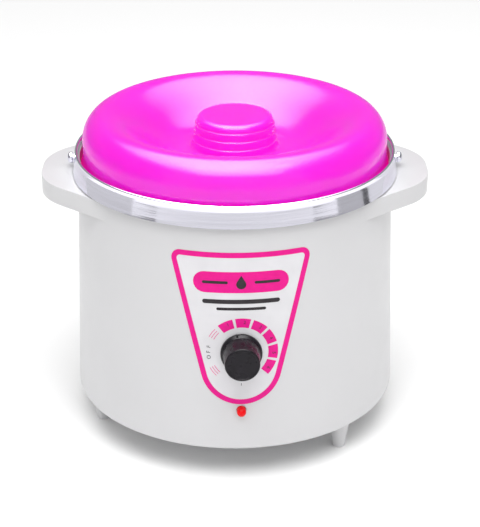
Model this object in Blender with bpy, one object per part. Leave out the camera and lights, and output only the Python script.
# Wax warmer pot for a salon: a heated drum with a lift-out wax pot and a domed lid.
# Metres, +Z up. The origin lies on the table under the drum's axis, and the front faces -Y.
import math

import bmesh
import bpy
from mathutils import Matrix, Vector

GAP = 0.0003  # left between two pieces that touch
MERGE = 0.001  # how far a boss or a rib is sunk into the piece it grows from
CUT_PAST = 0.003  # how far a cutter runs past the face it opens

# Shell: a drum that flares towards its foot, with an ear on each side
FOOT_CLEARANCE = 0.0220
SHELL_HEIGHT = 0.1477
SHELL_TOP_RADIUS = 0.1000
SHELL_FLARE = 0.0049  # how much wider the drum is at its foot
SHELL_WALL = 0.0025
SHELL_LIP_WIDTH = 0.0045
SHELL_EDGE = 0.0012
EAR_REACH = 0.0233
EAR_HALF_WIDTH = 0.0242
EAR_THICKNESS = 0.0120
EAR_CORNER = 0.0400
EAR_FLANK_DEG = 40.4
EAR_EDGE = 0.0010

# Wax pot, hung by its flange from the shell's top edge
POT_SHEET = 0.0015
POT_DEPTH = 0.0660
POT_SIDE_GAP = 0.0010
POT_CORNER = 0.0180
POT_COLLAR_HEIGHT = 0.0100
LID_SEAT_INSET = 0.0011
BAND_OVERHANG = 0.0037
BAND_TAPER = 0.0018
BAND_SHEET = 0.0012
BAND_HEIGHT = 0.0138
BEAD_RADIUS = 0.0010
STUD_HEAD_RADIUS = 0.0036
STUD_HEAD_THICKNESS = 0.0033
STUD_SHANK_RADIUS = 0.0017
STUD_NECK = 0.0007
STUD_HEIGHT = 0.0060

# Lid: one moulding with a round shoulder, a sunk ring and a hollow stepped knob
LID_WALL = 0.0020
LID_FIT = 0.0007
LID_RIM_STEP = 0.0018
LID_RIM_HEIGHT = 0.0030
LID_SKIRT_HEIGHT = 0.0100
LID_SHOULDER_BULGE = 0.0004
LID_SHOULDER_HEIGHT = 0.0182
LID_SHOULDER_WIDTH = 0.0140
LID_SHOULDER_RISE = 0.0163
LID_TROUGH_HEIGHT = 0.0124
LID_TROUGH_RADIUS = 0.0340
LID_KNOB_TOP_RADIUS = 0.0246
LID_KNOB_STEP = 0.0009
LID_KNOB_DRAFT = 0.0002
LID_KNOB_TIERS = 4
LID_KNOB_HEIGHT = 0.0208
LID_KNOB_EDGE = 0.0040
LID_KNOB_DISH = 0.0014

# Base plate, feet and the screws that hold them
BASE_RECESS = 0.0030
BASE_THICKNESS = 0.0030
BASE_FIT = 0.0005
FOOT_INSET = 0.0128
FOOT_FIRST_DEG = 46.8
BOSS_FIRST_DEG = FOOT_FIRST_DEG + 60.0
FOOT_TIP_RADIUS = 0.0040
FOOT_TOP_RADIUS = 0.0078
FOOT_EDGE = 0.0008
VENT_COUNT = 6
VENT_CIRCLE_RADIUS = 0.0780
VENT_LENGTH = 0.0160
VENT_WIDTH = 0.0030
VENT_FIRST_DEG = 16.0
SCREW_RADIUS = 0.0015
SCREW_HEAD_RADIUS = 0.0030
SCREW_HEAD_HEIGHT = 0.0020
SCREW_TIP_SHARE = 0.55
SCREW_DOME_SHARE = 0.60
SCREW_BITE = 0.0100
BOSS_RADIUS = 0.0045
BOSS_HEIGHT = 0.0200
WALL_PAD_SINK = 0.0015

# Control: power control behind the wall, with its knob in front
PANEL_DEG = 2.1
KNOB_BELOW_POT = 0.0150
KNOB_PAD_RADIUS = 0.0140
KNOB_PAD_DEPTH = 0.0050
KNOB_SPOT_RADIUS = 0.0080
KNOB_SPOT_DEPTH = 0.0009
KNOB_SKIRT_RADIUS = 0.01275
KNOB_SKIRT_HEIGHT = 0.0019
KNOB_BASE_RADIUS = 0.0113
KNOB_CAP_RADIUS = 0.0106
KNOB_HEIGHT = 0.0182
KNOB_STAND_OFF = 0.0007
KNOB_EDGE = 0.0007
KNOB_HUB_DEPTH = 0.0041
KNOB_TOP_WALL = 0.0042
POINTER_REACH = 0.0006
POINTER_WIDTH = 0.0012
POINTER_HEIGHT = 0.0036
POINTER_REST_DEG = 12.0
SHAFT_RADIUS = 0.0030
BUSH_WALL = 0.0012
BUSH_PROUD = 0.0042
CONTROL_RADIUS = 0.0120
CONTROL_DEPTH = 0.0090
CONTROL_BACK_WALL = 0.0020
LUG_SIZE = (0.0026, 0.0080, 0.0010)
LUG_PITCH = 0.0050
WASHER_RADIUS = 0.0074
WASHER_THICKNESS = 0.0006
NUT_ACROSS_FLATS = 0.0120
NUT_THICKNESS = 0.0022

# Indicator lamp
LAMP_BELOW_KNOB = 0.0395
LAMP_RADIUS = 0.00285
LAMP_PROUD = 0.0055
LAMP_ROUND = 0.0025
LAMP_SET_BACK = 0.0006
LAMP_FLANGE_RADIUS = 0.0038
LAMP_FLANGE_THICKNESS = 0.0010
LAMP_LENGTH = 0.0090
LAMP_CLIP_RADIUS = 0.0052
LAMP_CLIP_THICKNESS = 0.0020

# Cable gland at the back
GLAND_HEIGHT = 0.0440
GLAND_PAD_RADIUS = 0.0130
GLAND_SPOT_RADIUS = 0.0112
GLAND_SPOT_DEPTH = 0.0008
GLAND_BARREL_RADIUS = 0.0060
GLAND_BARREL_DEPTH = 0.0120
GLAND_ACROSS_FLATS = 0.0180
GLAND_FLANGE = 0.0050
GLAND_COLLAR_RADIUS = 0.0068
GLAND_COLLAR_LENGTH = 0.0045
GLAND_BORE_RADIUS = 0.0034
GLAND_CAP_WALL = 0.0018
GLAND_CAP_ROUND = 0.0027
GLAND_CAP_LENGTH = 0.0117
GLAND_SEAL_BORE_RADIUS = 0.0015
GLAND_NUT_ACROSS_FLATS = 0.0170
GLAND_NUT_THICKNESS = 0.0030

# Heater under the pot
PLATE_OUTSIDE_POSTS = 0.0065
PLATE_THICKNESS = 0.0080
ELEMENT_CIRCLE_RADIUS = 0.0480
ELEMENT_TUBE_RADIUS = 0.0032
ELEMENT_SINK = 0.0005
ELEMENT_ARC_DEG = 310.0
ELEMENT_TAIL = 0.0240
ELEMENT_BEND = 1.6
ELEMENT_BEND_CUT = 0.3
COVER_SHEET = 0.0010
COVER_FLANGE = 0.0060
CUTOUT_RADIUS = 0.0080
CUTOUT_HEIGHT = 0.0070
CUTOUT_FLANGE_RADIUS = 0.0135
CUTOUT_FLANGE_THICKNESS = 0.0012
CUTOUT_SCREW_CIRCLE = 0.0106
CUTOUT_SCREW_RADIUS = 0.0012
CUTOUT_SCREW_HEAD = 0.0022
POSTS_OUTSIDE_ELEMENT = 0.0155
POST_FIRST_DEG = 30.0
UPPER_POST_RADIUS = 0.0040
UPPER_POST_LENGTH = 0.0158
LOWER_POST_ACROSS_FLATS = 0.0070
SHIELD_OVERHANG = 0.0100
SHIELD_SHEET = 0.0010
SHIELD_RIM = 0.0070
SHIELD_PASS_RADIUS = 0.0052

# Circuit board on the base plate
BOARD_LENGTH = 0.0700
BOARD_WIDTH = 0.0500
BOARD_THICKNESS = 0.0016
BOARD_HOLE_INSET = 0.0050
BOARD_POST_HEIGHT = 0.0080
BOARD_POST_RADIUS = 0.0033
HEAT_SINK_SIZE = (0.0240, 0.0160, 0.0200)
HEAT_SINK_SHEET = 0.0020
HEAT_SINK_PLACE = (0.0140, 0.0110)
TRIAC_SIZE = (0.0100, 0.0045, 0.0150)
CAPACITOR_SIZE = (0.0180, 0.0080, 0.0120)
CAPACITOR_PLACE = (-0.0160, -0.0060)
CHOKE_MEAN_RADIUS = 0.0068
CHOKE_SECTION_RADIUS = 0.0030
CHOKE_PLACE = (0.0150, -0.0080)
TERMINAL_SIZE = (0.0160, 0.0100, 0.0120)
TERMINAL_PLACE = (-0.0160, 0.0130)
TERMINAL_WAY_RADIUS = 0.0019
TERMINAL_WAY_DEPTH = 0.0040
TERMINAL_PITCH = 0.0080
LEAD_RADIUS = 0.0013
CONTROL_LEAD_PULL = 0.4
CONTROL_LEAD_PLACE = 0.0058
LAMP_LEAD_PLACE = -0.0088

# Levels and radii that several pieces share
SHELL_TOP = FOOT_CLEARANCE + SHELL_HEIGHT
SHELL_FOOT_RADIUS = SHELL_TOP_RADIUS + SHELL_FLARE
LID_SEAT_RADIUS = SHELL_TOP_RADIUS - LID_SEAT_INSET
FOOT_CIRCLE_RADIUS = SHELL_FOOT_RADIUS - FOOT_INSET
POST_CIRCLE_RADIUS = ELEMENT_CIRCLE_RADIUS + POSTS_OUTSIDE_ELEMENT
PLATE_RADIUS = POST_CIRCLE_RADIUS + PLATE_OUTSIDE_POSTS
SHIELD_RADIUS = PLATE_RADIUS + SHIELD_OVERHANG
RIM_BASE = SHELL_TOP + GAP
SEAT = RIM_BASE + POT_SHEET + GAP
BASE_UNDER = FOOT_CLEARANCE + BASE_RECESS
BASE_TOP = BASE_UNDER + BASE_THICKNESS
POT_UNDER = SHELL_TOP - POT_DEPTH
KNOB_LEVEL = POT_UNDER - KNOB_BELOW_POT
LAMP_LEVEL = KNOB_LEVEL - LAMP_BELOW_KNOB
PLATE_TOP = POT_UNDER - GAP
PLATE_UNDER = PLATE_TOP - PLATE_THICKNESS
SHIELD_TOP = PLATE_UNDER - 2 * GAP - UPPER_POST_LENGTH
SHIELD_UNDER = SHIELD_TOP - SHIELD_SHEET
BOARD_UNDER = BASE_TOP + BOARD_POST_HEIGHT + GAP
BOARD_TOP = BOARD_UNDER + BOARD_THICKNESS
WALL_TILT = math.atan2(SHELL_FLARE, SHELL_HEIGHT)

# Facets round a full turn, and steps along a curve
SMOOTH_SIDES = 44
MEDIUM_SIDES = 20
COLLAR_SIDES = 16
SMALL_SIDES = 12
SCREW_SIDES = 8
ARC_STEPS = 3
SHOULDER_STEPS = 6
SLOPE_STEPS = 6
INNER_STEPS = 4
ELEMENT_STEPS = 36
LEAD_POINTS = 12
ON_AXIS = 1e-6
SHARP_DEG = 35.0
BEVEL_ABOVE_DEG = 60.0


def clear_scene():
    for item in list(bpy.data.objects):
        bpy.data.objects.remove(item, do_unlink=True)


def finish(name, colour, roughness, metallic=0.0, transmission=0.0):
    made = bpy.data.materials.new(name)
    made.use_nodes = True
    shader = made.node_tree.nodes["Principled BSDF"]
    shader.inputs["Base Color"].default_value = (*colour, 1.0)
    shader.inputs["Roughness"].default_value = roughness
    shader.inputs["Metallic"].default_value = metallic
    shader.inputs["Transmission Weight"].default_value = transmission
    made.diffuse_color = (*colour, 1.0)
    return made


def add_object(name, mesh, surface, parent=None):
    """Turns a bmesh into an object, shaded smooth but for its sharp edges."""
    bmesh.ops.recalc_face_normals(mesh, faces=mesh.faces)
    data = bpy.data.meshes.new(name)
    mesh.to_mesh(data)
    mesh.free()
    data.shade_smooth()
    data.set_sharp_from_angle(angle=math.radians(SHARP_DEG))
    if surface is not None:
        data.materials.append(surface)
    made = bpy.data.objects.new(name, data)
    made.parent = parent
    bpy.context.collection.objects.link(made)
    return made


def axis_point(name, place, turn=(0.0, 0.0, 0.0)):
    made = bpy.data.objects.new(name, None)
    made.location = place
    made.rotation_euler = turn
    made.empty_display_size = SHELL_WALL
    bpy.context.collection.objects.link(made)
    return made


def rounded(corners, steps=ARC_STEPS):
    """An outline from (x, y, radius) corners, each radius above zero turned into an arc."""
    path = []
    count = len(corners)
    for index, (x, y, radius) in enumerate(corners):
        corner = Vector((x, y))
        if radius <= 0.0:
            path.append((x, y))
            continue
        to_last = (Vector(corners[index - 1][:2]) - corner).normalized()
        to_next = (Vector(corners[(index + 1) % count][:2]) - corner).normalized()
        half = to_last.angle(to_next) / 2
        centre = corner + (to_last + to_next).normalized() * (radius / math.sin(half))
        start = corner + to_last * (radius / math.tan(half)) - centre
        end = corner + to_next * (radius / math.tan(half)) - centre
        sweep = math.atan2(start.x * end.y - start.y * end.x, start.dot(end))
        for step in range(steps + 1):
            turn = Matrix.Rotation(sweep * step / steps, 2)
            path.append(tuple(centre + turn @ start))
    return path


def join_rings(mesh, lower, upper):
    if len(lower) == 1 and len(upper) == 1:
        return
    sides = max(len(lower), len(upper))
    for side in range(sides):
        following = (side + 1) % sides
        corners = [lower[side % len(lower)], lower[following % len(lower)]]
        corners += [upper[following % len(upper)], upper[side % len(upper)]]
        mesh.faces.new(dict.fromkeys(corners))


def turned(name, outline, surface, sides, parent=None):
    """A solid turned about Z from a closed outline of (radius, height) points."""
    mesh = bmesh.new()
    rings = []
    for radius, height in outline:
        if radius < ON_AXIS:
            rings.append([mesh.verts.new((0.0, 0.0, height))])
            continue
        rings.append([mesh.verts.new((x, y, height)) for x, y in circle_points(radius, sides)])
    for lower, upper in zip(rings, rings[1:] + rings[:1]):
        join_rings(mesh, lower, upper)
    return add_object(name, mesh, surface, parent)


def hexagonal(name, across_flats, bore_radius, bottom, top, surface, parent=None):
    """A hexagonal prism with a round hole, or a solid one where bore_radius is zero."""
    mesh = bmesh.new()
    sixth = math.tau / 6
    sides = MEDIUM_SIDES if bore_radius else SMALL_SIDES
    rings = []
    levels = [(False, bottom), (False, top)]
    levels += [(True, top), (True, bottom)] if bore_radius else []
    for inside, height in levels:
        ring = []
        for side in range(sides):
            angle = math.tau * side / sides
            to_flat = (angle + sixth / 2) % sixth - sixth / 2
            radius = bore_radius if inside else across_flats / 2 / math.cos(to_flat)
            ring.append(mesh.verts.new((radius * math.cos(angle), radius * math.sin(angle), height)))
        rings.append(ring)
    for lower, upper in zip(rings, rings[1:]):
        join_rings(mesh, lower, upper)
    if bore_radius:
        join_rings(mesh, rings[-1], rings[0])
    else:
        mesh.faces.new(rings[0])
        mesh.faces.new(rings[1])
    return add_object(name, mesh, surface, parent)


def extruded(name, outline, bottom, top, surface, parent=None):
    mesh = bmesh.new()
    lower = [mesh.verts.new((x, y, bottom)) for x, y in outline]
    upper = [mesh.verts.new((x, y, top)) for x, y in outline]
    join_rings(mesh, lower, upper)
    mesh.faces.new(lower)
    mesh.faces.new(upper)
    return add_object(name, mesh, surface, parent)


def block(name, size, centre, surface, parent=None):
    mesh = bmesh.new()
    bmesh.ops.create_cube(mesh, size=1.0)
    bmesh.ops.scale(mesh, vec=size, verts=mesh.verts)
    bmesh.ops.translate(mesh, vec=centre, verts=mesh.verts)
    return add_object(name, mesh, surface, parent)


def circle_points(radius, sides):
    angles = [math.tau * side / sides for side in range(sides)]
    return [(radius * math.cos(angle), radius * math.sin(angle)) for angle in angles]


def drum(radius, bottom, top):
    """The outline of a plain cylinder."""
    return [(0.0, bottom), (radius, bottom), (radius, top), (0.0, top)]


def tube_ring(inner, outer, bottom, top):
    return [(inner, bottom), (outer, bottom), (outer, top), (inner, top)]


def tool_for(target, tool, operation):
    tool.hide_render = True
    tool.display_type = "WIRE"
    shaping = target.modifiers.new(tool.name, "BOOLEAN")
    shaping.operation = operation
    shaping.solver = "EXACT"
    shaping.object = tool


def cut(target, tool):
    tool_for(target, tool, "DIFFERENCE")


def add(target, tool):
    tool_for(target, tool, "UNION")


def polar(radius, degrees, height=0.0):
    """A point at an angle from the front (-Y), turning towards +X."""
    angle = math.radians(degrees)
    return (radius * math.sin(angle), -radius * math.cos(angle), height)


def thirds(first_degrees):
    return [first_degrees + 120.0 * index for index in range(3)]


def wall_radius(height):
    share = (SHELL_TOP - height) / SHELL_HEIGHT
    return SHELL_TOP_RADIUS + SHELL_FLARE * share


def wall_axis(name, degrees, height):
    """An empty on the wall's outer face with its Z square to the wall, pointing out."""
    turn = (math.pi / 2 - WALL_TILT, 0.0, math.radians(degrees))
    return axis_point(name, polar(wall_radius(height), degrees, height), turn)


def screw_outline(head_under, tip, radius, head_radius, head_height):
    """A pan-head screw on Z; the head lies on the far side of head_under from the tip."""
    away = math.copysign(1.0, head_under - tip)
    dome = head_radius * SCREW_DOME_SHARE
    return [
        (0.0, tip),
        (radius * SCREW_TIP_SHARE, tip),
        (radius, tip + away * radius),
        (radius, head_under),
        (head_radius, head_under),
        (head_radius, head_under + away * head_height / 2),
        (dome, head_under + away * head_height),
        (0.0, head_under + away * head_height),
    ]


def pan_screw(name, place, head_under, tip):
    outline = screw_outline(head_under, tip, SCREW_RADIUS, SCREW_HEAD_RADIUS, SCREW_HEAD_HEIGHT)
    made = turned(name, outline, zinc, SCREW_SIDES)
    made.location = place
    return made


def drill(target, name, place, radius, bottom, top, sides=SMALL_SIDES):
    tool = turned(name, drum(radius, bottom, top), None, sides)
    tool.location = place
    tool.rotation_euler.z = math.pi / sides
    cut(target, tool)


def smooth_points(knots, count):
    """Points along a smooth curve through the knots."""
    route = [Vector(knot) for knot in knots]
    route = [2 * route[0] - route[1], *route, 2 * route[-1] - route[-2]]
    spans = len(knots) - 1
    points = []
    for index in range(count):
        place = spans * index / (count - 1)
        span = min(int(place), spans - 1)
        t = place - span
        a, b, c, d = route[span : span + 4]
        bend = 2 * b + (c - a) * t + (2 * a - 5 * b + 4 * c - d) * t**2 + (3 * b - a - 3 * c + d) * t**3
        points.append(bend / 2)
    return points


def wire(name, points, radius, surface):
    data = bpy.data.curves.new(name, "CURVE")
    data.dimensions = "3D"
    data.bevel_depth = radius
    data.bevel_resolution = 1
    data.use_fill_caps = True
    line = data.splines.new("POLY")
    line.points.add(len(points) - 1)
    for target, point in zip(line.points, points):
        target.co = (*point, 1.0)
    line.use_smooth = True
    data.materials.append(surface)
    made = bpy.data.objects.new(name, data)
    bpy.context.collection.objects.link(made)
    return made


def ear_outline():
    """An ear seen from above, on the +X side: a round-cornered end on flanks that run into the drum."""
    root = SHELL_TOP_RADIUS - SHELL_WALL / 2
    end = SHELL_TOP_RADIUS + EAR_REACH
    slope = math.radians(EAR_FLANK_DEG)
    normal = Vector((math.sin(slope), math.cos(slope)))
    reach = normal.dot(Vector((end, EAR_HALF_WIDTH)))
    root_angle = math.atan2(normal.y, normal.x) - math.acos(min(1.0, reach / root))
    foot = Vector((math.cos(root_angle), math.sin(root_angle))) * root
    corners = [(end, -EAR_HALF_WIDTH, EAR_CORNER), (end, EAR_HALF_WIDTH, EAR_CORNER), (*foot, 0.0)]
    for step in range(1, SHOULDER_STEPS):
        angle = root_angle * (1 - 2 * step / SHOULDER_STEPS)
        corners.append((root * math.cos(angle), root * math.sin(angle), 0.0))
    corners.append((foot.x, -foot.y, 0.0))
    return rounded(corners, SHOULDER_STEPS)


def add_ear(shell, side):
    outline = [(side * x, y) for x, y in ear_outline()]
    top = SHELL_TOP - GAP
    ear = extruded(f"ear_{'left' if side < 0 else 'right'}_form", outline, top - EAR_THICKNESS, top, None)
    edges = ear.modifiers.new("soft edges", "BEVEL")
    edges.width = EAR_EDGE
    edges.segments = 2
    edges.limit_method = "ANGLE"
    edges.angle_limit = math.radians(BEVEL_ABOVE_DEG)
    add(shell, ear)


def add_wall_pad(shell, name, axis, pad_radius, pad_depth, spot_radius, spot_depth, hole_radius):
    """A flat pad inside the wall, a flat spot outside it and a hole through both."""
    pad = turned(f"{name}_pad", drum(pad_radius, -pad_depth, -WALL_PAD_SINK), None, MEDIUM_SIDES, axis)
    add(shell, pad)
    spot = turned(f"{name}_spot", drum(spot_radius, -spot_depth, CUT_PAST), None, MEDIUM_SIDES, axis)
    cut(shell, spot)
    hole = drum(hole_radius, -pad_depth - CUT_PAST, CUT_PAST)
    cut(shell, turned(f"{name}_hole", hole, None, SMALL_SIDES, axis))


def boss_circle_radius():
    return wall_radius(BASE_TOP) - SHELL_WALL - BOSS_RADIUS + MERGE


def make_shell(knob_axis, lamp_axis, gland_axis):
    lip_radius = SHELL_TOP_RADIUS - SHELL_LIP_WIDTH
    under_lip = SHELL_TOP - SHELL_WALL
    outline = [
        (lip_radius, SHELL_TOP, SHELL_EDGE / 2),
        (SHELL_TOP_RADIUS, SHELL_TOP, SHELL_EDGE / 2),
        (SHELL_FOOT_RADIUS, FOOT_CLEARANCE, SHELL_EDGE),
        (SHELL_FOOT_RADIUS - SHELL_WALL, FOOT_CLEARANCE, SHELL_EDGE / 2),
        (wall_radius(under_lip) - SHELL_WALL, under_lip, 0.0),
        (lip_radius, under_lip, 0.0),
    ]
    shell = turned("outer_shell", rounded(outline, 2), white_plastic, SMOOTH_SIDES)
    add_ear(shell, -1)
    add_ear(shell, 1)
    for index, degrees in enumerate(thirds(BOSS_FIRST_DEG)):
        place = polar(boss_circle_radius(), degrees)
        bottom = BASE_TOP + GAP
        form = drum(BOSS_RADIUS, bottom, bottom + BOSS_HEIGHT)
        boss = turned(f"boss_form_{index + 1}", form, None, SMALL_SIDES)
        boss.location = place
        add(shell, boss)
        top = BASE_TOP + SCREW_BITE + CUT_PAST
        drill(shell, f"boss_bore_{index + 1}", place, SCREW_RADIUS + GAP, BASE_UNDER, top, SCREW_SIDES)
    add_wall_pad(
        shell, "knob", knob_axis, KNOB_PAD_RADIUS, KNOB_PAD_DEPTH, KNOB_SPOT_RADIUS, KNOB_SPOT_DEPTH,
        SHAFT_RADIUS + GAP + BUSH_WALL + GAP,
    )
    add_wall_pad(
        shell, "gland", gland_axis, GLAND_PAD_RADIUS, KNOB_PAD_DEPTH, GLAND_SPOT_RADIUS, GLAND_SPOT_DEPTH,
        GLAND_BARREL_RADIUS + GAP,
    )
    lamp_hole = drum(LAMP_RADIUS + GAP, -SHELL_WALL - CUT_PAST, CUT_PAST)
    cut(shell, turned("lamp_hole", lamp_hole, None, SMALL_SIDES, lamp_axis))


def board_corners():
    across = BOARD_LENGTH / 2 - BOARD_HOLE_INSET
    along = BOARD_WIDTH / 2 - BOARD_HOLE_INSET
    return [(x, y, 0.0) for x in (-across, across) for y in (-along, along)]


def make_base():
    radius = wall_radius(BASE_TOP) - SHELL_WALL - BASE_FIT
    base = extruded("base_plate", circle_points(radius, SMOOTH_SIDES), BASE_UNDER, BASE_TOP, grey_plastic)
    bore = SCREW_RADIUS + GAP
    circles = {
        "base_screw": (boss_circle_radius(), BOSS_FIRST_DEG),
        "foot_screw": (FOOT_CIRCLE_RADIUS, FOOT_FIRST_DEG),
        "post_screw": (POST_CIRCLE_RADIUS, POST_FIRST_DEG),
    }
    for kind, (circle, first) in circles.items():
        for index, degrees in enumerate(thirds(first)):
            place = polar(circle, degrees)
            name = f"{kind}_way_{index + 1}"
            drill(base, name, place, bore, BASE_UNDER - CUT_PAST, BASE_TOP + CUT_PAST, SCREW_SIDES)
    for index, place in enumerate(board_corners()):
        top = BASE_TOP + BOARD_POST_HEIGHT
        form = drum(BOARD_POST_RADIUS, BASE_UNDER + MERGE, top)
        post = turned(f"board_post_form_{index + 1}", form, None, SMALL_SIDES)
        post.location = place
        add(base, post)
        name = f"board_post_bore_{index + 1}"
        drill(base, name, place, bore, BASE_TOP + MERGE, top + CUT_PAST, SCREW_SIDES)
    for index in range(VENT_COUNT):
        degrees = VENT_FIRST_DEG + 360.0 * index / VENT_COUNT
        size = (VENT_WIDTH, VENT_LENGTH, BASE_THICKNESS + 2 * CUT_PAST)
        vent = block(f"vent_form_{index + 1}", size, (0.0, 0.0, 0.0), None)
        vent.location = polar(VENT_CIRCLE_RADIUS, degrees, BASE_UNDER + BASE_THICKNESS / 2)
        vent.rotation_euler.z = math.radians(degrees)
        cut(base, vent)


def make_feet():
    top = BASE_UNDER - GAP
    slope = (FOOT_TOP_RADIUS - FOOT_TIP_RADIUS) / top
    bore = SCREW_RADIUS + GAP
    bore_end = top - SCREW_BITE - CUT_PAST
    for index, degrees in enumerate(thirds(FOOT_FIRST_DEG)):
        outline = [
            (0.0, 0.0, 0.0),
            (FOOT_TIP_RADIUS, 0.0, FOOT_EDGE),
            (FOOT_TIP_RADIUS + slope * top, top, 0.0),
            (bore, top, 0.0),
            (bore, bore_end, 0.0),
            (0.0, bore_end, 0.0),
        ]
        place = polar(FOOT_CIRCLE_RADIUS, degrees)
        foot = turned(f"foot_{index + 1}", rounded(outline), white_plastic, SMALL_SIDES)
        foot.location = place
        pan_screw(f"foot_screw_{index + 1}", place, BASE_TOP + GAP, top - SCREW_BITE)


def make_base_screws():
    head = BASE_UNDER - GAP
    for kind, circle, first in (
        ("base_screw", boss_circle_radius(), BOSS_FIRST_DEG),
        ("post_screw", POST_CIRCLE_RADIUS, POST_FIRST_DEG),
    ):
        for index, degrees in enumerate(thirds(first)):
            pan_screw(f"{kind}_{index + 1}", polar(circle, degrees), head, BASE_TOP + SCREW_BITE)


def pot_outline():
    outer = SHELL_TOP_RADIUS - SHELL_LIP_WIDTH - POT_SIDE_GAP
    inner = outer - POT_SHEET
    flange = SHELL_TOP_RADIUS + BAND_OVERHANG - BAND_SHEET - 2 * GAP
    collar_top = RIM_BASE + POT_COLLAR_HEIGHT
    return [
        (0.0, POT_UNDER, 0.0),
        (outer, POT_UNDER, POT_CORNER),
        (outer, RIM_BASE, 0.0),
        (flange, RIM_BASE, 0.0),
        (flange, RIM_BASE + POT_SHEET, 0.0),
        (LID_SEAT_RADIUS + POT_SHEET, RIM_BASE + POT_SHEET, 0.0),
        (LID_SEAT_RADIUS + POT_SHEET, collar_top, 0.0),
        (LID_SEAT_RADIUS, collar_top, 0.0),
        (LID_SEAT_RADIUS, RIM_BASE + POT_SHEET, 0.0),
        (inner, RIM_BASE + POT_SHEET, POT_SHEET),
        (inner, POT_UNDER + POT_SHEET, POT_CORNER - POT_SHEET),
        (0.0, POT_UNDER + POT_SHEET, 0.0),
    ]


def band_outline():
    """The rim band: a tapered skirt with a bead rolled over the pot's collar."""
    bottom_radius = SHELL_TOP_RADIUS + BAND_OVERHANG
    top_radius = bottom_radius - BAND_TAPER
    bead_height = RIM_BASE + BAND_HEIGHT - BEAD_RADIUS
    under_bead = RIM_BASE + POT_COLLAR_HEIGHT + GAP
    outline = [(bottom_radius - BAND_SHEET, RIM_BASE), (bottom_radius, RIM_BASE)]
    for step in range(SHOULDER_STEPS + 1):
        angle = math.pi * step / SHOULDER_STEPS
        radius = top_radius - BEAD_RADIUS + BEAD_RADIUS * math.cos(angle)
        outline.append((radius, bead_height + BEAD_RADIUS * math.sin(angle)))
    outline.append((top_radius - 2 * BEAD_RADIUS, under_bead))
    outline.append((top_radius - BAND_SHEET, under_bead))
    return outline


def make_pot(pot_axis):
    pot = turned("wax_pot", rounded(pot_outline()), aluminium, SMOOTH_SIDES, pot_axis)
    band = turned("rim_band", band_outline(), polished_steel, SMOOTH_SIDES, pot_axis)
    height = SHELL_TOP + STUD_HEIGHT
    band_radius = SHELL_TOP_RADIUS + BAND_OVERHANG - BAND_TAPER * STUD_HEIGHT / BAND_HEIGHT
    head_under = band_radius + STUD_NECK
    head_end = head_under + STUD_HEAD_THICKNESS
    outline = [
        (0.0, LID_SEAT_RADIUS + GAP, 0.0),
        (STUD_SHANK_RADIUS, LID_SEAT_RADIUS + GAP, 0.0),
        (STUD_SHANK_RADIUS, head_under, 0.0),
        (STUD_HEAD_RADIUS, head_under, STUD_HEAD_THICKNESS / 4),
        (STUD_HEAD_RADIUS, head_end, STUD_HEAD_THICKNESS / 2),
        (0.0, head_end, 0.0),
    ]
    for name, side in (("left", -1), ("right", 1)):
        turn = (0.0, side * math.pi / 2, 0.0)
        stud = turned(f"lifting_stud_{name}", rounded(outline), polished_steel, SMALL_SIDES, pot_axis)
        stud.location = (0.0, 0.0, height)
        stud.rotation_euler = turn
        way = drum(STUD_SHANK_RADIUS + GAP, LID_SEAT_RADIUS - CUT_PAST, head_end)
        for target in (pot, band):
            tool = turned(f"stud_way_{name}_{target.name}", way, None, SCREW_SIDES, pot_axis)
            tool.location = stud.location
            tool.rotation_euler = turn
            cut(target, tool)


def lid_shoulder(inset, shoulder_steps, slope_steps):
    """The rounded shoulder and the slope down to the sunk ring, inset from the outer face."""
    seat_radius = LID_SEAT_RADIUS - LID_FIT
    skirt = seat_radius - LID_RIM_STEP
    centre = skirt + LID_SHOULDER_BULGE - LID_SHOULDER_WIDTH
    height = SEAT + LID_SHOULDER_HEIGHT
    ridge = height + LID_SHOULDER_RISE
    floor = SEAT + LID_TROUGH_HEIGHT
    points = [
        (seat_radius - inset, SEAT),
        (seat_radius - inset, SEAT + LID_RIM_HEIGHT),
        (skirt - inset, SEAT + LID_SKIRT_HEIGHT),
    ]
    for step in range(shoulder_steps + 1):
        angle = math.pi / 2 * step / shoulder_steps
        radius = centre + (LID_SHOULDER_WIDTH - inset) * math.cos(angle)
        points.append((radius, height + (LID_SHOULDER_RISE - inset) * math.sin(angle)))
    for step in range(1, slope_steps + 1):
        share = step / slope_steps
        radius = centre + (LID_TROUGH_RADIUS - centre) * share
        fall = (1 - math.cos(math.pi * share)) / 2
        points.append((radius, ridge - inset - (ridge - floor) * fall))
    return points


def lid_knob_tiers():
    """The stepped outside of the lid's knob, from its foot to the edge of its top."""
    floor = SEAT + LID_TROUGH_HEIGHT
    tier = LID_KNOB_HEIGHT / LID_KNOB_TIERS
    corners = []
    for index in range(LID_KNOB_TIERS):
        radius = LID_KNOB_TOP_RADIUS + LID_KNOB_STEP * (LID_KNOB_TIERS - 1 - index)
        last = index == LID_KNOB_TIERS - 1
        corners.append((radius, floor + tier * index, 0.0))
        edge = LID_KNOB_EDGE if last else 0.0
        corners.append((radius - LID_KNOB_DRAFT, floor + tier * (index + 1), edge))
    corners.append((0.0, floor + LID_KNOB_HEIGHT - LID_KNOB_DISH, 0.0))
    return rounded([(0.0, floor, 0.0), *corners])[1:]


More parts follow.
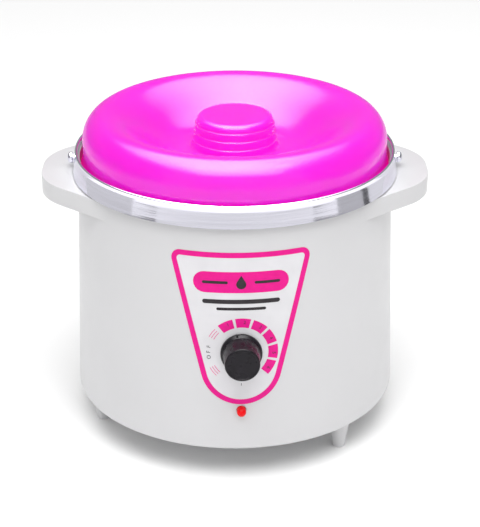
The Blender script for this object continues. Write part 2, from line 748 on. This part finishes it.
def make_lid(lid_axis):
    floor_under = SEAT + LID_TROUGH_HEIGHT - LID_WALL
    hollow_top = floor_under + LID_KNOB_HEIGHT - LID_KNOB_DISH
    hollow = LID_KNOB_TOP_RADIUS - LID_WALL
    inside = [
        (0.0, hollow_top, 0.0),
        (hollow - LID_KNOB_STEP, hollow_top, LID_KNOB_EDGE / 2),
        (hollow + 2 * LID_KNOB_STEP, floor_under, 0.0),
    ]
    outer_face = lid_shoulder(0.0, SHOULDER_STEPS, SLOPE_STEPS) + lid_knob_tiers()
    inner_face = rounded(inside) + lid_shoulder(LID_WALL, INNER_STEPS, INNER_STEPS)[::-1]
    turned("lid", outer_face + inner_face, magenta_plastic, SMOOTH_SIDES, lid_axis)


def make_knob(knob_axis):
    hub = KNOB_STAND_OFF + KNOB_HUB_DEPTH
    skirt_top = KNOB_STAND_OFF + KNOB_SKIRT_HEIGHT
    shoulder = skirt_top + KNOB_SKIRT_RADIUS - KNOB_BASE_RADIUS
    bore = SHAFT_RADIUS + GAP
    recess = KNOB_SPOT_RADIUS + GAP
    outline = [
        (recess, KNOB_STAND_OFF, 0.0),
        (KNOB_SKIRT_RADIUS, KNOB_STAND_OFF, 0.0),
        (KNOB_SKIRT_RADIUS, skirt_top, 0.0),
        (KNOB_BASE_RADIUS, shoulder, 0.0),
        (KNOB_CAP_RADIUS, KNOB_HEIGHT, KNOB_EDGE),
        (0.0, KNOB_HEIGHT, 0.0),
        (0.0, KNOB_HEIGHT - KNOB_TOP_WALL, 0.0),
        (bore, KNOB_HEIGHT - KNOB_TOP_WALL, 0.0),
        (bore, hub, 0.0),
        (recess, hub, 0.0),
    ]
    knob = turned("control_knob", rounded(outline), black_plastic, MEDIUM_SIDES, knob_axis)
    knob.rotation_euler.z = math.radians(POINTER_REST_DEG)
    inner = KNOB_BASE_RADIUS - MERGE
    outer = KNOB_SKIRT_RADIUS + POINTER_REACH
    bottom = KNOB_STAND_OFF + SHELL_EDGE
    centre = (0.0, (inner + outer) / 2, (bottom + POINTER_HEIGHT) / 2)
    size = (POINTER_WIDTH, outer - inner, POINTER_HEIGHT - bottom)
    add(knob, block("pointer_form", size, centre, None, knob))
    back = -KNOB_PAD_DEPTH - GAP - CONTROL_DEPTH + CONTROL_BACK_WALL + GAP
    shaft = drum(SHAFT_RADIUS, back, KNOB_HEIGHT - KNOB_TOP_WALL - GAP)
    turned("control_shaft", shaft, steel, SMALL_SIDES, knob_axis)


def make_control(knob_axis):
    front = -KNOB_PAD_DEPTH - GAP
    back = front - CONTROL_DEPTH
    bore = SHAFT_RADIUS + GAP
    bush = bore + BUSH_WALL
    outline = [
        (0.0, back),
        (CONTROL_RADIUS, back),
        (CONTROL_RADIUS, front),
        (bush, front),
        (bush, BUSH_PROUD),
        (bore, BUSH_PROUD),
        (bore, back + CONTROL_BACK_WALL),
        (0.0, back + CONTROL_BACK_WALL),
    ]
    control = turned("power_control", outline, steel, COLLAR_SIDES, knob_axis)
    for index in range(3):
        centre = (LUG_PITCH * (index - 1), -CONTROL_RADIUS - LUG_SIZE[1] / 4, (front + back) / 2)
        add(control, block(f"lug_form_{index + 1}", LUG_SIZE, centre, None, control))
    washer_under = GAP - KNOB_SPOT_DEPTH
    washer_top = washer_under + WASHER_THICKNESS
    washer = tube_ring(bush + GAP, WASHER_RADIUS, washer_under, washer_top)
    turned("control_washer", washer, steel, COLLAR_SIDES, knob_axis)
    nut_under = washer_top + GAP
    nut_top = nut_under + NUT_THICKNESS
    hexagonal("control_nut", NUT_ACROSS_FLATS, bush + GAP, nut_under, nut_top, steel, knob_axis)


def make_lamp(lamp_axis):
    flange_top = -SHELL_WALL - LAMP_SET_BACK
    flange_under = flange_top - LAMP_FLANGE_THICKNESS
    outline = [
        (0.0, -LAMP_LENGTH, 0.0),
        (LAMP_RADIUS, -LAMP_LENGTH, 0.0),
        (LAMP_RADIUS, flange_under, 0.0),
        (LAMP_FLANGE_RADIUS, flange_under, 0.0),
        (LAMP_FLANGE_RADIUS, flange_top, 0.0),
        (LAMP_RADIUS, flange_top, 0.0),
        (LAMP_RADIUS, LAMP_PROUD, LAMP_ROUND),
        (0.0, LAMP_PROUD, 0.0),
    ]
    turned("indicator_lamp", rounded(outline), red_lens, SMALL_SIDES, lamp_axis)
    clip_top = flange_under - GAP
    clip = tube_ring(LAMP_RADIUS + GAP, LAMP_CLIP_RADIUS, clip_top - LAMP_CLIP_THICKNESS, clip_top)
    turned("lamp_clip", clip, black_plastic, SMALL_SIDES, lamp_axis)


def make_gland(gland_axis):
    flange_under = GAP - GLAND_SPOT_DEPTH
    flange_top = flange_under + GLAND_FLANGE
    collar_top = flange_top + GLAND_COLLAR_LENGTH
    barrel = tube_ring(GLAND_BORE_RADIUS, GLAND_BARREL_RADIUS, -GLAND_BARREL_DEPTH, flange_under + MERGE)
    body = turned("gland_body", barrel, black_plastic, SMALL_SIDES, gland_axis)
    bore = GLAND_BORE_RADIUS
    across_flats = GLAND_ACROSS_FLATS
    add(body, hexagonal("gland_hex_form", across_flats, bore, flange_under, flange_top, None, gland_axis))
    collar = tube_ring(bore, GLAND_COLLAR_RADIUS, flange_top - MERGE, collar_top)
    add(body, turned("gland_collar_form", collar, None, COLLAR_SIDES, gland_axis))
    cap_under = flange_top + GAP
    cap_end = cap_under + GLAND_CAP_LENGTH
    cap_bore = GLAND_COLLAR_RADIUS + GAP
    cap_radius = cap_bore + GLAND_CAP_WALL
    seal_top = cap_end - GLAND_CAP_WALL - GAP
    outline = [
        (cap_bore, cap_under, 0.0),
        (cap_radius, cap_under, 0.0),
        (cap_radius, cap_end, GLAND_CAP_ROUND),
        (bore, cap_end, 0.0),
        (bore, cap_end - GLAND_CAP_WALL, 0.0),
        (cap_bore, cap_end - GLAND_CAP_WALL, 0.0),
    ]
    turned("gland_cap", rounded(outline), black_plastic, COLLAR_SIDES, gland_axis)
    seal = tube_ring(GLAND_SEAL_BORE_RADIUS, cap_bore - GAP, collar_top + GAP, seal_top)
    turned("gland_seal", seal, black_rubber, COLLAR_SIDES, gland_axis)
    nut_top = -KNOB_PAD_DEPTH - GAP
    nut_under = nut_top - GLAND_NUT_THICKNESS
    nut_bore = GLAND_BARREL_RADIUS + GAP
    across_flats = GLAND_NUT_ACROSS_FLATS
    hexagonal("gland_lock_nut", across_flats, nut_bore, nut_under, nut_top, black_plastic, gland_axis)


def element_height():
    return PLATE_UNDER + ELEMENT_SINK


def element_end_angle():
    """Half the opening of the heating element, which is centred on the front."""
    return math.radians((360.0 - ELEMENT_ARC_DEG) / 2)


def element_end(side):
    """The lower end of one of the element's tails, on the -X or the +X side."""
    angle = math.degrees(element_end_angle()) * side
    return Vector(polar(ELEMENT_CIRCLE_RADIUS, angle, element_height() - ELEMENT_TAIL))


def element_points():
    """Down one tail, round the ring and down the other tail."""
    height = element_height()
    bend = ELEMENT_TUBE_RADIUS * ELEMENT_BEND
    opening = math.degrees(element_end_angle())
    turn = math.degrees(bend / ELEMENT_CIRCLE_RADIUS)
    tail = [(opening, height - ELEMENT_TAIL), (opening, height - bend)]
    tail.append((opening + ELEMENT_BEND_CUT * turn, height - ELEMENT_BEND_CUT * bend))
    ring = []
    for step in range(ELEMENT_STEPS + 1):
        degrees = opening + turn + (ELEMENT_ARC_DEG - 2 * turn) * step / ELEMENT_STEPS
        ring.append((degrees, height))
    far_tail = [(360.0 - degrees, level) for degrees, level in reversed(tail)]
    return [polar(ELEMENT_CIRCLE_RADIUS, degrees, level) for degrees, level in tail + ring + far_tail]


def groove_outline(radius_out, radius_in, ceiling):
    return [
        (0.0, PLATE_UNDER),
        (radius_in, PLATE_UNDER),
        (radius_in, ceiling),
        (radius_out, ceiling),
        (radius_out, PLATE_UNDER),
        (PLATE_RADIUS, PLATE_UNDER),
        (PLATE_RADIUS, PLATE_TOP),
        (0.0, PLATE_TOP),
    ]


def make_heater():
    half = ELEMENT_TUBE_RADIUS + GAP
    inner = ELEMENT_CIRCLE_RADIUS - half
    outer = ELEMENT_CIRCLE_RADIUS + half
    ceiling = element_height() + half
    plate = turned("heater_plate", groove_outline(outer, inner, ceiling), aluminium, SMOOTH_SIDES)
    wire("heating_element", element_points(), ELEMENT_TUBE_RADIUS, steel)
    top = PLATE_UNDER - GAP
    channel = element_height() - half
    cover_outline = [
        (inner - COVER_FLANGE, top),
        (inner - COVER_FLANGE, top - COVER_SHEET),
        (inner - COVER_SHEET, top - COVER_SHEET),
        (inner - COVER_SHEET, channel - COVER_SHEET),
        (outer + COVER_SHEET, channel - COVER_SHEET),
        (outer + COVER_SHEET, top - COVER_SHEET),
        (outer + COVER_FLANGE, top - COVER_SHEET),
        (outer + COVER_FLANGE, top),
        (outer, top),
        (outer, channel),
        (inner, channel),
        (inner, top),
    ]
    cover = turned("element_cover", cover_outline, steel, SMOOTH_SIDES)
    for name, side in (("left", -1), ("right", 1)):
        end = element_end(side)
        size = (2 * half + CUT_PAST, 2 * half, 2 * CUT_PAST)
        slot = block(f"tail_slot_{name}", size, (0.0, 0.0, 0.0), None)
        slot.location = (end.x, end.y, channel - COVER_SHEET / 2)
        slot.rotation_euler.z = element_end_angle() * side
        cut(cover, slot)
    make_cutout(plate)


def make_cutout(plate):
    """The thermal cutout in the middle of the heater plate, with its two screws."""
    top = PLATE_UNDER - GAP
    flange_under = top - CUTOUT_FLANGE_THICKNESS
    outline = [
        (0.0, top - CUTOUT_HEIGHT),
        (CUTOUT_RADIUS, top - CUTOUT_HEIGHT),
        (CUTOUT_RADIUS, flange_under),
        (CUTOUT_FLANGE_RADIUS, flange_under),
        (CUTOUT_FLANGE_RADIUS, top),
        (0.0, top),
    ]
    cutout = turned("thermal_cutout", outline, steel, COLLAR_SIDES)
    tip = PLATE_UNDER + PLATE_THICKNESS / 2
    head_under = flange_under - GAP
    shape = screw_outline(head_under, tip, CUTOUT_SCREW_RADIUS, CUTOUT_SCREW_HEAD, CUTOUT_FLANGE_THICKNESS)
    way = CUTOUT_SCREW_RADIUS + GAP
    for index, side in enumerate((-1, 1)):
        place = (side * CUTOUT_SCREW_CIRCLE, 0.0, 0.0)
        screw = turned(f"cutout_screw_{index + 1}", shape, zinc, SCREW_SIDES)
        screw.location = place
        bottom = flange_under - MERGE
        drill(cutout, f"cutout_way_{index + 1}", place, way, bottom, top + CUT_PAST, SCREW_SIDES)
        drill(plate, f"plate_bore_{index + 1}", place, way, top - CUT_PAST, tip + GAP, SCREW_SIDES)


def make_posts_and_shield():
    outline = [
        (0.0, SHIELD_UNDER),
        (SHIELD_RADIUS, SHIELD_UNDER),
        (SHIELD_RADIUS, SHIELD_TOP + SHIELD_RIM),
        (SHIELD_RADIUS - SHIELD_SHEET, SHIELD_TOP + SHIELD_RIM),
        (SHIELD_RADIUS - SHIELD_SHEET, SHIELD_TOP),
        (0.0, SHIELD_TOP),
    ]
    shield = turned("heat_shield", outline, aluminium, SMOOTH_SIDES)
    for name, side in (("left", -1), ("right", 1)):
        end = element_end(side)
        place = (end.x, end.y, 0.0)
        bottom = SHIELD_UNDER - CUT_PAST
        drill(shield, f"tail_pass_{name}", place, SHIELD_PASS_RADIUS, bottom, SHIELD_TOP + CUT_PAST)
    upper = drum(UPPER_POST_RADIUS, SHIELD_TOP + GAP, PLATE_UNDER - GAP)
    for index, degrees in enumerate(thirds(POST_FIRST_DEG)):
        place = polar(POST_CIRCLE_RADIUS, degrees)
        post = turned(f"ceramic_post_{index + 1}", upper, ceramic, SMALL_SIDES)
        post.location = place
        bottom = BASE_TOP + GAP
        name = f"shield_post_{index + 1}"
        lower = hexagonal(name, LOWER_POST_ACROSS_FLATS, 0.0, bottom, SHIELD_UNDER - GAP, zinc)
        lower.location = place
        bore_end = BASE_TOP + SCREW_BITE + CUT_PAST
        way = f"shield_post_bore_{index + 1}"
        drill(lower, way, place, SCREW_RADIUS + GAP, bottom - CUT_PAST, bore_end, SCREW_SIDES)


def make_board():
    size = (BOARD_LENGTH, BOARD_WIDTH, BOARD_THICKNESS)
    board = block("circuit_board", size, (0.0, 0.0, BOARD_UNDER + BOARD_THICKNESS / 2), board_green)
    for index, place in enumerate(board_corners()):
        way = f"board_way_{index + 1}"
        bottom = BOARD_UNDER - CUT_PAST
        drill(board, way, place, SCREW_RADIUS + GAP, bottom, BOARD_TOP + CUT_PAST, SCREW_SIDES)
        tip = BASE_TOP + MERGE + GAP
        pan_screw(f"board_screw_{index + 1}", place, BOARD_TOP + GAP, tip)


def on_board(name, size, place, surface):
    centre = (*place, BOARD_TOP + GAP + size[2] / 2)
    return block(name, size, centre, surface)


def make_board_pieces():
    width, depth, height = HEAT_SINK_SIZE
    x, y = HEAT_SINK_PLACE
    sheet = HEAT_SINK_SHEET
    outline = [
        (x - width / 2, y + depth / 2),
        (x - width / 2, y - depth / 2),
        (x + width / 2, y - depth / 2),
        (x + width / 2, y + depth / 2),
        (x + width / 2 - sheet, y + depth / 2),
        (x + width / 2 - sheet, y - depth / 2 + sheet),
        (x - width / 2 + sheet, y - depth / 2 + sheet),
        (x - width / 2 + sheet, y + depth / 2),
    ]
    bottom = BOARD_TOP + GAP
    extruded("heat_sink", outline, bottom, bottom + height, dark_metal)
    triac_y = y - depth / 2 + sheet + GAP + TRIAC_SIZE[1] / 2
    on_board("triac", TRIAC_SIZE, (x, triac_y), black_plastic)
    on_board("film_capacitor", CAPACITOR_SIZE, CAPACITOR_PLACE, amber_plastic)
    ring = []
    for step in range(SCREW_SIDES):
        angle = math.tau * step / SCREW_SIDES
        radius = CHOKE_MEAN_RADIUS + CHOKE_SECTION_RADIUS * math.cos(angle)
        ring.append((radius, bottom + CHOKE_SECTION_RADIUS * (1 + math.sin(angle))))
    choke = turned("choke_coil", ring, copper, SMALL_SIDES)
    choke.location = (*CHOKE_PLACE, 0.0)
    terminal = on_board("terminal_block", TERMINAL_SIZE, TERMINAL_PLACE, green_plastic)
    for index, side in enumerate((-1, 1)):
        way = drum(TERMINAL_WAY_RADIUS, -TERMINAL_WAY_DEPTH, CUT_PAST)
        tool = turned(f"terminal_way_{index + 1}", way, None, SCREW_SIDES)
        x, y = TERMINAL_PLACE
        level = BOARD_TOP + TERMINAL_SIZE[2] / 3
        tool.location = (x + side * TERMINAL_PITCH / 2, y + TERMINAL_SIZE[1] / 2, level)
        tool.rotation_euler.x = -math.pi / 2
        cut(terminal, tool)


def make_leads(knob_axis, lamp_axis):
    """Insulated leads between the board and the parts it feeds."""
    board_level = BOARD_TOP + GAP
    bpy.context.view_layer.update()
    for name, side in (("left", -1), ("right", 1)):
        start = element_end(side) - Vector((0.0, 0.0, GAP))
        end = Vector((side * BOARD_LENGTH / 4, -BOARD_WIDTH / 2 + LEAD_RADIUS * 2, board_level))
        down = Vector((0.0, 0.0, (start.z - end.z) / 3))
        knots = [start, start - down, end + down, end]
        wire(f"heater_lead_{name}", smooth_points(knots, LEAD_POINTS), LEAD_RADIUS, brown_lead)
    lug_back = -KNOB_PAD_DEPTH - GAP - CONTROL_DEPTH / 2
    lug_end = CONTROL_RADIUS + LUG_SIZE[1] * 3 / 4 + GAP
    lamp_back = -LAMP_LENGTH - GAP
    pull = (0.0, -CONTROL_LEAD_PULL, -CONTROL_LEAD_PULL)
    ends = {
        "control_lead": (knob_axis, (0.0, -lug_end, lug_back), pull, CONTROL_LEAD_PLACE),
        "lamp_lead": (lamp_axis, (0.0, 0.0, lamp_back), (0.0, 0.0, -1.0), LAMP_LEAD_PLACE),
    }
    for name, (axis, start, heading, across) in ends.items():
        begin = axis.matrix_world @ Vector(start)
        way = axis.matrix_world.to_3x3() @ Vector(heading)
        end = Vector((across, -BOARD_WIDTH / 2 + LEAD_RADIUS * 2, board_level))
        reach = (begin - end).length / 3
        up = Vector((0.0, 0.0, reach))
        knots = [begin, begin + way * reach, end + up, end]
        wire(name, smooth_points(knots, LEAD_POINTS), LEAD_RADIUS, brown_lead)


clear_scene()

white_plastic = finish("white_plastic", (0.74, 0.74, 0.75), 0.32)
grey_plastic = finish("grey_plastic", (0.55, 0.55, 0.56), 0.45)
black_plastic = finish("black_plastic", (0.018, 0.016, 0.020), 0.38)
black_rubber = finish("black_rubber", (0.025, 0.025, 0.025), 0.75)
magenta_plastic = finish("magenta_plastic", (0.95, 0.03, 0.70), 0.14, transmission=0.3)
amber_plastic = finish("amber_plastic", (0.75, 0.33, 0.04), 0.40)
green_plastic = finish("green_plastic", (0.05, 0.30, 0.10), 0.45)
board_green = finish("board_green", (0.03, 0.20, 0.07), 0.40)
red_lens = finish("red_lens", (0.80, 0.00, 0.01), 0.18)
polished_steel = finish("polished_steel", (0.84, 0.84, 0.87), 0.10, metallic=1.0)
aluminium = finish("aluminium", (0.72, 0.72, 0.74), 0.28, metallic=1.0)
steel = finish("steel", (0.56, 0.56, 0.58), 0.30, metallic=1.0)
zinc = finish("zinc", (0.66, 0.67, 0.70), 0.30, metallic=1.0)
dark_metal = finish("dark_metal", (0.08, 0.08, 0.09), 0.40, metallic=1.0)
copper = finish("copper", (0.72, 0.28, 0.12), 0.30, metallic=1.0)
ceramic = finish("ceramic", (0.85, 0.82, 0.75), 0.55)
brown_lead = finish("brown_lead", (0.20, 0.08, 0.03), 0.50)

pot_lift = axis_point("pot_lift_axis", (0.0, 0.0, 0.0))
lid_lift = axis_point("lid_lift_axis", (0.0, 0.0, 0.0))
knob_mount = wall_axis("knob_axis", PANEL_DEG, KNOB_LEVEL)
lamp_mount = wall_axis("lamp_axis", PANEL_DEG, LAMP_LEVEL)
gland_mount = wall_axis("gland_axis", PANEL_DEG + 180.0, GLAND_HEIGHT)

make_shell(knob_mount, lamp_mount, gland_mount)
make_base()
make_feet()
make_base_screws()
make_pot(pot_lift)
make_lid(lid_lift)
make_knob(knob_mount)
make_control(knob_mount)
make_lamp(lamp_mount)
make_gland(gland_mount)
make_heater()
make_posts_and_shield()
make_board()
make_board_pieces()
make_leads(knob_mount, lamp_mount)
